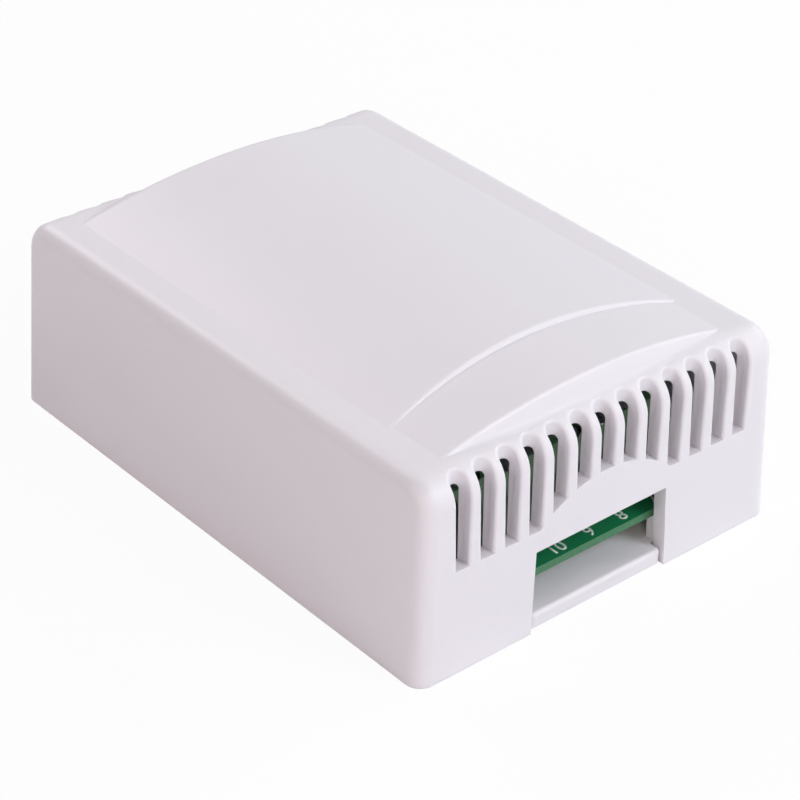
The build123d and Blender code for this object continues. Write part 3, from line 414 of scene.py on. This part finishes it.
class RECEIVER_OT_casing(bpy.types.Operator):
    """Give the upper shell and the base plate their moulded finish"""

    bl_idname = "receiver.casing"
    bl_label = "Finish Casing"

    def execute(self, context):
        settings = context.scene.receiver_casing
        colour = (*settings.colour, 1.0)
        # ABS injected into an eroded mould: an even matte white with soft, broad highlights. The real
        # grain is about 0.15 mm and is drawn twice as coarse, so that it shows.
        shell, tree, shader, place = plastic(
            "Matte moulded ABS, spark-eroded grain",
            colour,
            settings.grain / MM,
            settings.grain_depth / MM,
            0.42,
            0.975,
        )
        # Light goes a little way into the white plastic, so that its hollows stay warm and soft.
        shader.inputs["Subsurface Weight"].default_value = 0.25
        shader.inputs["Subsurface Radius"].default_value = (1.0 * MM, 1.0 * MM, 1.0 * MM)
        shader.inputs["Subsurface Scale"].default_value = 1.0
        # The step's foot runs out into the crown as a soft hollow: its shading is rounded off.
        end = low_corner("upper_shell").y
        x, y, z = node(tree, "ShaderNodeSeparateXYZ", {0: place}).outputs
        side = node(tree, "ShaderNodeMath", {0: x}, operation="ABSOLUTE").outputs[0]
        # Each bound says where the rounding is nothing and where it is full, in millimetres.
        foot = 1.0
        for value, nothing, full in (
            (side, 23.0, 21.0),
            (y, end + 3.4, end + 3.6),
            (y, end + 4.7, end + 4.4),
            (z, 23.5, 24.0),
        ):
            share = {0: foot, 1: faded(tree, value, nothing, full)}
            foot = node(tree, "ShaderNodeMath", share, operation="MULTIPLY").outputs[0]
        sharp = node(tree, "ShaderNodeNewGeometry").outputs["Normal"]
        soft = node(tree, "ShaderNodeBevel", {"Radius": 1.5 * MM}, samples=8).outputs[0]
        ways = {"Factor": foot, "A": sharp, "B": soft}
        way = node(tree, "ShaderNodeMix", ways, data_type="VECTOR").outputs[1]
        grain = shader.inputs["Normal"].links[0].from_node
        tree.links.new(way, grain.inputs["Normal"])
        dress(shell, "upper_shell", "base_plate")
        return {"FINISHED"}


class RECEIVER_OT_board(bpy.types.Operator):
    """Give both circuit boards their solder resist and cut laminate edges"""

    bl_idname = "receiver.board"
    bl_label = "Finish Boards"

    def execute(self, context):
        colour = (*context.scene.receiver_board.resist, 1.0)
        # FR4 with cured solder resist: a glossy green film, and glass fibre where it was cut, painted darker
        # than its real pale tone as shade on the edges.
        dress(laminate("Solder resist on FR4, main board", colour, 2), "circuit_board")
        dress(laminate("Solder resist on FR4, radio board", colour, 1), "radio_board")
        return {"FINISHED"}


def ink(settings):
    """White epoxy ink, screened on: flat, slightly broken where it crosses the weave."""
    return plastic("Screened epoxy ink", (*settings.ink, 1.0), 0.15, 0.004, 0.6, 0.85)[0]


class RECEIVER_OT_numbers(bpy.types.Operator):
    """Print the plain terminal numbers 1 to 12 along both ends of the board"""

    bl_idname = "receiver.numbers"
    bl_label = "Print Terminal Numbers"

    def execute(self, context):
        settings = context.scene.receiver_board
        finish = ink(settings)
        row = high_corner("circuit_board").y - settings.number_inset / MM
        for end, y, first, turn in (("front", -row, 7, 0.0), ("back", row, 1, pi)):
            pieces = []
            for number in range(first, first + 6):
                screw = f"terminal_screw_{number:02d}"
                x = (low_corner(screw).x + high_corner(screw).x) / 2
                deselect()
                bpy.ops.object.text_add(location=Vector((x, y, BOARD_TOP)) * MM, rotation=(0, 0, turn))
                text = bpy.context.object
                text.data.body = str(number)
                text.data.size = settings.number_height / DIGIT_SHARE
                text.data.align_x = "CENTER"
                text.data.align_y = "CENTER"
                text.data.offset = 0.03 * MM
                bpy.ops.object.convert(target="MESH")
                thickened(text, settings.ink_thickness / MM)
                pieces.append(text)
            settle(joined(pieces), f"terminal_numbers_{end}", finish)
        return {"FINISHED"}


class RECEIVER_OT_outlines(bpy.types.Operator):
    """Print the outline of each part on the board"""

    bl_idname = "receiver.outlines"
    bl_label = "Print Part Outlines"

    def execute(self, context):
        settings = context.scene.receiver_board
        line = settings.line / MM
        thickness = settings.ink_thickness / MM
        round_box, round_can = 0.8, 0.9
        pieces = []
        for name in (
            "relay_cover_1",
            "relay_cover_2",
            "front_terminal_block",
            "back_terminal_block",
            "controller_chip",
            "learn_button_body",
            "surge_varistor",
            "bridge_rectifier",
        ):
            low, high = low_corner(name), high_corner(name)
            size = (high.x - low.x + round_box, high.y - low.y + round_box)
            middle = ((low.x + high.x) / 2, (low.y + high.y) / 2)
            pieces.append(printed_outline(middle, size, line, thickness))
        for name in ("smoothing_capacitor", "input_fuse", "status_led"):
            low, high = low_corner(name), high_corner(name)
            middle = ((low.x + high.x) / 2, (low.y + high.y) / 2)
            size = (high.y - low.y + round_can,) * 2
            pieces.append(printed_outline(middle, size, line, thickness, 48))
        settle(joined(pieces), "part_outlines", ink(settings))
        return {"FINISHED"}


class RECEIVER_OT_solder(bpy.types.Operator):
    """Put a solder fillet round each lead that stands free on the board"""

    bl_idname = "receiver.solder"
    bl_label = "Add Solder Joints"

    def execute(self, context):
        foot, neck, height = 0.8, 0.38, 0.4
        deselect()
        bpy.ops.mesh.primitive_cone_add(
            vertices=16, radius1=foot * MM, radius2=neck * MM, depth=height * MM, end_fill_type="NGON"
        )
        joint = bpy.context.object
        bpy.ops.object.mode_set(mode="EDIT")
        bpy.ops.mesh.select_all(action="SELECT")
        # The cone is cut a little under its middle and drawn in there, to a hollow side.
        bpy.ops.mesh.bisect(plane_co=(0, 0, -0.06 * MM), plane_no=(0, 0, 1))
        bpy.ops.transform.resize(value=(0.8, 0.8, 1.0))
        bpy.ops.object.mode_set(mode="OBJECT")
        bpy.ops.object.shade_smooth_by_angle(angle=radians(60))
        pieces = []
        for places in SOLDERED.values():
            for place in places:
                pieces.append(copied(joint, (*place, BOARD_TOP + height / 2)))
        bpy.data.objects.remove(joint)
        # Tin alloy, frozen in a smooth concave fillet: bright and slightly dimpled.
        tin = metal("Solder, smooth frozen tin alloy", linear("#C6C7C8"), 0.3, 0.4)
        settle(joined(pieces), "solder_joints", tin)
        return {"FINISHED"}


class RECEIVER_OT_terminals(bpy.types.Operator):
    """Finish the terminal blocks, their contact bars, rising cages and screws"""

    bl_idname = "receiver.terminals"
    bl_label = "Finish Terminals"

    def execute(self, context):
        colour = (*context.scene.receiver_parts.terminal, 1.0)
        # Polyamide from a polished mould: a slightly waxy green with a soft gloss.
        housing = plastic("Moulded green polyamide", colour, 0.25, 0.006, 0.4, 0.85)[0]
        dress(housing, "front_terminal_block", "back_terminal_block")
        # Zinc on steel, passivated: cool grey, with turned or rolled marks.
        zinc = metal("Zinc-plated steel, passivated", linear("#C8CBCC"), 0.42, 0.2, (1, 1, 4))
        numbers = [f"{i:02d}" for i in range(1, 13)]
        dress(zinc, "board_screws", *(f"terminal_clamp_{n}" for n in numbers))
        dress(zinc, *(f"terminal_screw_{n}" for n in numbers))
        # Tin on brass strip, stamped: bright and even.
        tin = metal("Tin-plated brass strip", linear("#CFCBBE"), 0.28, 0.3, (1, 4, 1))
        dress(tin, "terminal_bars", "radio_pins", "relay_contacts_1", "relay_contacts_2")
        return {"FINISHED"}


class RECEIVER_OT_relays(bpy.types.Operator):
    """Finish the relays and add the vent nib of each cover"""

    bl_idname = "receiver.relays"
    bl_label = "Finish Relays"

    def execute(self, context):
        colour = (*context.scene.receiver_parts.relay, 1.0)
        # Polyester with glass filler: black, half matte, with a fine satin grain.
        cover = plastic("Moulded black polyester", colour, 0.3, 0.01, 0.42, 0.7)[0]
        dress(cover, "relay_cover_1", "relay_cover_2", "relay_base_1", "relay_base_2")
        # Nickel on soft iron, stamped: warm grey, satin.
        iron = metal("Nickel-plated soft iron", linear("#A9A8A4"), 0.36, 0.25, (1, 5, 1))
        dress(iron, "relay_yoke_1", "relay_yoke_2", "relay_armature_1", "relay_armature_2")
        # Enamelled wire, wound in layers: glossy copper ridges between plain bobbin flanges. The real
        # wire is 0.1 mm thick and is drawn at 0.25 mm, so that its turns show.
        low, high = low_corner("relay_coil_1"), high_corner("relay_coil_1")
        coil, tree, shader, place = plastic(
            "Enamelled copper wire on a bobbin", linear("#9C4A22"), 0.2, 0.0, 0.3
        )
        ridges = {"Vector": place, "Scale": 1 / (0.25 * MM) / 20}
        turns = node(tree, "ShaderNodeTexWave", ridges, bands_direction="Z").outputs["Fac"]
        bumped(tree, shader, turns, 0.08)
        flange = 0.7
        wound = zone(tree, place, (-FAR, -FAR, low.z + flange), (FAR, FAR, high.z - flange))
        base = shader.inputs["Base Color"]
        tree.links.new(mixed(tree, wound, linear("#D9D2BE"), base.links[0].from_socket), base)
        dress(coil, "relay_coil_1", "relay_coil_2")
        from_corner, nib_radius, nib_height, nib_wall, nib_hollow = 2.6, 0.9, 0.3, 0.25, 0.22
        for index in (1, 2):
            low, high = low_corner(f"relay_cover_{index}"), high_corner(f"relay_cover_{index}")
            deselect()
            middle = Vector((low.x + from_corner, low.y + from_corner, high.z + nib_height / 2)) * MM
            bpy.ops.mesh.primitive_cylinder_add(
                vertices=32, radius=nib_radius * MM, depth=nib_height * MM, location=middle
            )
            nib = bpy.context.object
            bpy.ops.object.mode_set(mode="EDIT")
            choose(nib.data, lambda face: face.normal.z > 0.5)
            bpy.ops.mesh.inset(thickness=nib_wall * MM)
            bpy.ops.mesh.extrude_region_move(TRANSFORM_OT_translate={"value": (0, 0, -nib_hollow * MM)})
            bpy.ops.object.mode_set(mode="OBJECT")
            edge = nib.modifiers.new("edge", "BEVEL")
            edge.width = 0.06 * MM
            edge.segments = 2
            bpy.ops.object.modifier_apply(modifier=edge.name)
            settle(nib, f"relay_cover_{index}_vent", cover)
        return {"FINISHED"}


class RECEIVER_OT_power(bpy.types.Operator):
    """Finish the capacitor, rectifier, regulator, fuse and varistor"""

    bl_idname = "receiver.power"
    bl_label = "Finish Power Parts"

    def execute(self, context):
        low, high = low_corner("smoothing_capacitor"), high_corner("smoothing_capacitor")
        middle = (low + high) / 2
        colour = (*context.scene.receiver_parts.sleeve, 1.0)
        # Vinyl shrunk over an aluminium can: glossy and smooth, with a pale stripe by the minus lead.
        sleeve, tree, shader, place = plastic("Shrunk vinyl sleeve", colour, 0.6, 0.003, 0.28, 0.8)
        stripe_from, stripe_half = middle.x + 3.6, 2.0
        stripe_low = (stripe_from, middle.y - stripe_half, 0)
        stripe = zone(tree, place, stripe_low, (FAR, middle.y + stripe_half, high.z))
        base = shader.inputs["Base Color"]
        tree.links.new(mixed(tree, stripe, base.links[0].from_socket, linear("#B9BDC4")), base)
        legs(tree, shader, above(tree, place, BOARD_TOP))
        dress(sleeve, "smoothing_capacitor")
        # Moulding compound, rough from its mould: dull black.
        for name in ("bridge_rectifier", "voltage_regulator"):
            body, tree, shader, place = plastic(
                f"Black moulding compound, {name.replace('_', ' ')}", linear("#26262A"), 0.3, 0.012, 0.6, 0.8
            )
            low, high = low_corner(name), high_corner(name)
            # The rectifier's legs come out of its two sides, and the regulator's tab and legs of its ends.
            if name == "bridge_rectifier":
                leg = 0.76
                inside = ((low.x + leg, -FAR, BOARD_TOP), (high.x - leg, FAR, FAR))
            else:
                leg, tab = 2.41, 1.26
                inside = ((-FAR, low.y + leg, BOARD_TOP - 1), (FAR, high.y - tab, FAR))
            legs(tree, shader, zone(tree, place, *inside))
            dress(body, name)
        # Polyester case from a polished mould: brown and glossy.
        fuse, tree, shader, place = plastic(
            "Polished brown polyester", linear("#5A2E1A"), 0.5, 0.004, 0.25, 0.85
        )
        legs(tree, shader, above(tree, place, BOARD_TOP))
        dress(fuse, "input_fuse")
        # Dipped epoxy: a thick, glossy, slightly wavy blue coat.
        disc, tree, shader, place = plastic("Dipped blue epoxy", linear("#2B63B5"), 1.6, 0.05, 0.22, 0.8)
        coat_foot = 0.5
        legs(tree, shader, above(tree, place, BOARD_TOP + coat_foot))
        dress(disc, "surge_varistor")
        return {"FINISHED"}


class RECEIVER_OT_capacitor_top(bpy.types.Operator):
    """Add the capacitor's bare can top with its scored vent"""

    bl_idname = "receiver.capacitor_top"
    bl_label = "Add Capacitor Top"

    def execute(self, context):
        low, high = low_corner("smoothing_capacitor"), high_corner("smoothing_capacitor")
        middle = (low + high) / 2
        top = Vector((middle.x, middle.y, high.z)) * MM
        radius, rim, groove = 4.1, 0.3, 0.12
        deselect()
        bpy.ops.mesh.primitive_circle_add(vertices=48, radius=radius * MM, fill_type="NGON", location=top)
        can = bpy.context.object
        bpy.ops.object.mode_set(mode="EDIT")
        bpy.ops.mesh.select_all(action="SELECT")
        bpy.ops.mesh.inset(thickness=rim * MM)
        for way in ((1, 1, 0), (1, -1, 0)):
            bpy.ops.mesh.select_all(action="SELECT")
            bpy.ops.mesh.bisect(plane_co=top, plane_no=way)
        # The two cuts leave four large quarters inside the rim; each is raised, which scores the cross.
        choose(can.data, lambda face: face.area > 5 * MM**2)
        bpy.ops.mesh.inset(thickness=groove * MM, use_individual=True)
        bpy.ops.transform.translate(value=(0, 0, groove * MM))
        bpy.ops.object.mode_set(mode="OBJECT")
        thickened(can, 0.02)
        # Aluminium, drawn and scored: pale and satin.
        settle(can, "capacitor_top", metal("Drawn aluminium", linear("#D3D4D6"), 0.3, 0.3))
        return {"FINISHED"}


class RECEIVER_OT_control(bpy.types.Operator):
    """Finish the controller, transistors, diodes, resistors, status light and learn button"""

    bl_idname = "receiver.control"
    bl_label = "Finish Control Parts"

    def execute(self, context):
        # Moulding compound with a dimple that marks the first leg.
        low, high = low_corner("controller_chip"), high_corner("controller_chip")
        chip, tree, shader, place = plastic(
            "Black moulding compound, controller", linear("#232326"), 0.3, 0.012, 0.62, 0.8
        )
        first_leg = {0: place, 1: Vector((low.x + 2.0, low.y + 2.6, high.z)) * MM}
        away = node(tree, "ShaderNodeVectorMath", first_leg, operation="DISTANCE").outputs["Value"]
        # Inside the dimple the colour is painted darker, down to 0.6 at its middle, as shade in its hollow;
        # the same factor also bumps it in.
        dimple = {"Value": away, "From Min": 0.45 * MM, "From Max": 0.6 * MM, "To Min": 0.6, "To Max": 1.0}
        rim = node(tree, "ShaderNodeMapRange", dimple).outputs["Result"]
        base = shader.inputs["Base Color"]
        shade = {"Vector": base.links[0].from_socket, "Scale": rim}
        shaded = node(tree, "ShaderNodeVectorMath", shade, operation="SCALE").outputs[0]
        tree.links.new(shaded, base)
        bumped(tree, shader, rim, 0.15)
        leg = 0.76
        inside = ((-FAR, low.y + leg, BOARD_TOP), (FAR, high.y - leg, FAR))
        legs(tree, shader, zone(tree, place, *inside))
        dress(chip, "controller_chip")
        cases, tree, shader, place = plastic(
            "Black moulding compound, transistors", linear("#28282A"), 0.3, 0.012, 0.55
        )
        case_foot = 1.8
        legs(tree, shader, above(tree, place, BOARD_TOP + case_foot))
        dress(cases, "relay_driver_transistors")
        # Moulded diodes: black bodies with a printed silver band at the cathode.
        low, high = low_corner("flyback_diodes"), high_corner("flyback_diodes")
        diodes, tree, shader, place = plastic("Black moulded diode", linear("#1D1D1F"), 0.3, 0.008, 0.4)
        diode_step = 10.2
        row = folded(tree, place, low.x - 0.25, diode_step)
        band = zone(tree, row, (low.x + 6.1, -FAR, -FAR), (low.x + 7.0, FAR, FAR))
        base = shader.inputs["Base Color"]
        tree.links.new(mixed(tree, band, base.links[0].from_socket, linear("#BDBFC2")), base)
        body = ((low.x + 2.24, -FAR, BOARD_TOP - 1), (low.x + 7.46, FAR, FAR))
        legs(tree, shader, zone(tree, row, *body))
        dress(diodes, "flyback_diodes")
        # Resistors: tan lacquer with painted colour bands.
        low, high = low_corner("resistors"), high_corner("resistors")
        parts, tree, shader, place = plastic(
            "Tan lacquer with painted bands", linear("#CDA878"), 0.4, 0.01, 0.35
        )
        resistor_step = 9.8
        row = folded(tree, place, low.x - 0.1, resistor_step)
        band_width = 0.55
        base = shader.inputs["Base Color"]
        for offset, colour in ((2.2, "#6B3A1E"), (3.4, "#1A1A1A"), (4.6, "#C8571C"), (6.6, "#B58D35")):
            start = low.x + offset
            stripe = zone(tree, row, (start, -FAR, -FAR), (start + band_width, FAR, FAR))
            tree.links.new(mixed(tree, stripe, base.links[0].from_socket, linear(colour)), base)
        body = ((low.x + 1.64, -FAR, BOARD_TOP - 1), (low.x + 7.96, FAR, FAR))
        legs(tree, shader, zone(tree, row, *body))
        dress(parts, "resistors")
        # Diffused epoxy: cloudy red that lets some light through.
        light, tree, shader, place = plastic("Diffused red epoxy", linear("#C81E1A"), 0.3, 0.002, 0.18)
        shader.inputs["Subsurface Weight"].default_value = 0.3
        shader.inputs["Subsurface Radius"].default_value = (0.6 * MM, 0.1 * MM, 0.1 * MM)
        shader.inputs["Subsurface Scale"].default_value = 1.0
        legs(tree, shader, above(tree, place, BOARD_TOP))
        dress(light, "status_led")
        # Polyamide, black for the button's body and red for its cap: matte, with a fine grain.
        button, tree, shader, place = plastic(
            "Matte black button plastic", linear("#1B1B1D"), 0.25, 0.01, 0.5
        )
        low, high = low_corner("learn_button_body"), high_corner("learn_button_body")
        leg = 0.31
        legs(tree, shader, zone(tree, place, (low.x + leg, -FAR, BOARD_TOP), (high.x - leg, FAR, FAR)))
        dress(button, "learn_button_body")
        cap = plastic("Matte red button plastic", linear("#A52A22"), 0.25, 0.01, 0.45)[0]
        dress(cap, "learn_button_cap")
        return {"FINISHED"}


class RECEIVER_OT_radio(bpy.types.Operator):
    """Finish the radio chip, its crystal and the antenna loop"""

    bl_idname = "receiver.radio"
    bl_label = "Finish Radio"

    def execute(self, context):
        low, high = low_corner("radio_chip"), high_corner("radio_chip")
        # Moulding compound again, with its legs at the top and the bottom of the upright board.
        chip, tree, shader, place = plastic(
            "Black moulding compound, radio chip", linear("#242427"), 0.3, 0.012, 0.6
        )
        leg = 0.61
        legs(tree, shader, zone(tree, place, (-FAR, -FAR, low.z + leg), (FAR, FAR, high.z - leg)))
        dress(chip, "radio_chip")
        # Nickel on drawn steel: warm and nearly mirror-like.
        can = metal("Nickel-plated crystal can", linear("#CFCCC4"), 0.22, 0.3, (4, 1, 1))
        dress(can, "radio_crystal")
        # Enamelled copper: bright orange under clear varnish.
        wire = metal("Enamelled copper wire", linear("#C8703A"), 0.22, 0.3, (1, 1, 1))
        wire.node_tree.nodes["Principled BSDF"].inputs["Coat Weight"].default_value = 0.6
        dress(wire, "antenna_loop")
        return {"FINISHED"}


class RECEIVER_OT_stage(bpy.types.Operator):
    """Set the floor, the backdrop light, the lamps and the camera"""

    bl_idname = "receiver.stage"
    bl_label = "Set Stage"

    def execute(self, context):
        studio = context.scene.receiver_studio
        scene = context.scene
        deselect()
        bpy.ops.mesh.primitive_plane_add(size=6.0)
        floor = bpy.context.object
        floor.name = "floor"
        paper = bpy.data.materials.new("White paper sweep")
        paper.use_nodes = True
        tree = paper.node_tree
        tree.nodes.clear()
        matte = node(tree, "ShaderNodeBsdfDiffuse", {"Color": linear("#F8F8FA")})
        plain = node(tree, "ShaderNodeEmission", {"Color": (1, 1, 1, 1), "Strength": 1.0})
        path = node(tree, "ShaderNodeLightPath")
        # The camera sees the paper as nearly plain white, with the rest left for the object's shadow.
        plain_share = 0.93
        seen = {0: path.outputs["Is Camera Ray"], 1: plain_share}
        seen = node(tree, "ShaderNodeMath", seen, operation="MULTIPLY").outputs[0]
        shown = node(tree, "ShaderNodeMixShader", {0: seen, 1: matte.outputs[0], 2: plain.outputs[0]})
        node(tree, "ShaderNodeOutputMaterial", {"Surface": shown.outputs[0]})
        floor.data.materials.append(paper)

        world = bpy.data.worlds.new("Studio")
        scene.world = world
        world.use_nodes = True
        tree = world.node_tree
        tree.nodes.clear()
        path = node(tree, "ShaderNodeLightPath").outputs
        direct = path["Is Camera Ray"]
        for ray in ("Is Glossy Ray", "Is Transmission Ray"):
            direct = node(tree, "ShaderNodeMath", {0: direct, 1: path[ray]}, operation="MAXIMUM").outputs[0]
        around = node(tree, "ShaderNodeBackground", {"Color": linear("#F6F7FF"), "Strength": studio.room})
        white = node(tree, "ShaderNodeBackground", {"Color": (1, 1, 1, 1), "Strength": 1.0})
        shown = node(tree, "ShaderNodeMixShader", {0: direct, 1: around.outputs[0], 2: white.outputs[0]})
        node(tree, "ShaderNodeOutputWorld", {"Surface": shown.outputs[0]})

        target = Vector((0, 0, 13)) * MM
        for name, place, size, power, colour in (
            ("key_lamp", (0.25, -0.55, 0.45), 0.35, studio.key, "#F3FAFF"),
            ("left_lamp", (-0.6, -0.1, 0.3), 0.4, studio.left, "#FFF8F6"),
            ("near_lamp", (-0.35, -0.55, 0.4), 0.4, studio.near, "#FFEAE0"),
            ("right_lamp", (0.6, -0.1, 0.4), 0.4, studio.right, "#FDFFFA"),
            ("back_lamp", (0, 0.6, 0.45), 0.4, studio.back, "#FFFAFC"),
        ):
            deselect()
            bpy.ops.object.light_add(type="AREA", location=place)
            lamp = bpy.context.object
            lamp.name = name
            lamp.data.shape = "DISK"
            lamp.data.size = size
            lamp.data.energy = power
            lamp.data.color = linear(colour)[:3]
            lamp.rotation_euler = (target - Vector(place)).to_track_quat("-Z", "Y").to_euler()

        deselect()
        bpy.ops.object.camera_add()
        camera = bpy.context.object
        scene.camera = camera
        camera.data.sensor_width = 36.0
        camera.data.lens = studio.lens
        camera.data.clip_start = 0.01
        round_by, raised, roll = studio.azimuth, studio.elevation, studio.roll
        back = Vector((sin(round_by) * cos(raised), -cos(round_by) * cos(raised), sin(raised)))
        right = Vector((0, 0, 1)).cross(back).normalized()
        up = back.cross(right)
        across = cos(roll) * right + sin(roll) * up
        upward = -sin(roll) * right + cos(roll) * up
        # The object stands a little off the middle of the photograph's frame.
        aside, below = 1.31 * MM, 4.80 * MM
        eye = target + back * studio.distance + across * aside - upward * below
        turned = Matrix((across, upward, back)).transposed().to_4x4()
        camera.matrix_world = Matrix.Translation(eye) @ turned

        scene.view_settings.view_transform = "Standard"
        return {"FINISHED"}


STEPS = (
    RECEIVER_OT_casing,
    RECEIVER_OT_board,
    RECEIVER_OT_numbers,
    RECEIVER_OT_outlines,
    RECEIVER_OT_solder,
    RECEIVER_OT_terminals,
    RECEIVER_OT_relays,
    RECEIVER_OT_power,
    RECEIVER_OT_capacitor_top,
    RECEIVER_OT_control,
    RECEIVER_OT_radio,
    RECEIVER_OT_stage,
)


class RECEIVER_PT_panel(bpy.types.Panel):
    """The receiver's settings and steps"""

    bl_idname = "RECEIVER_PT_panel"
    bl_label = "Radio Receiver"
    bl_space_type = "VIEW_3D"
    bl_region_type = "UI"
    bl_category = "Receiver"

    def draw(self, context):
        for group in GROUPS:
            box = self.layout.box()
            settings = getattr(context.scene, group)
            for name in settings.__annotations__:
                box.prop(settings, name)
        for step in STEPS:
            self.layout.operator(step.bl_idname)


GROUPS = {
    "receiver_casing": CasingSettings,
    "receiver_board": BoardSettings,
    "receiver_parts": PartSettings,
    "receiver_studio": StudioSettings,
}


def register():
    for group in GROUPS.values():
        bpy.utils.register_class(group)
    for step in STEPS:
        bpy.utils.register_class(step)
    bpy.utils.register_class(RECEIVER_PT_panel)
    for name, group in GROUPS.items():
        setattr(bpy.types.Scene, name, bpy.props.PointerProperty(type=group))


def unregister():
    for name in GROUPS:
        delattr(bpy.types.Scene, name)
    bpy.utils.unregister_class(RECEIVER_PT_panel)
    for step in reversed(STEPS):
        bpy.utils.unregister_class(step)
    for group in reversed(list(GROUPS.values())):
        bpy.utils.unregister_class(group)


def main():
    register()
    for step in STEPS:
        family, action = step.bl_idname.split(".")
        getattr(getattr(bpy.ops, family), action)()


if __name__ == "__main__":
    main()
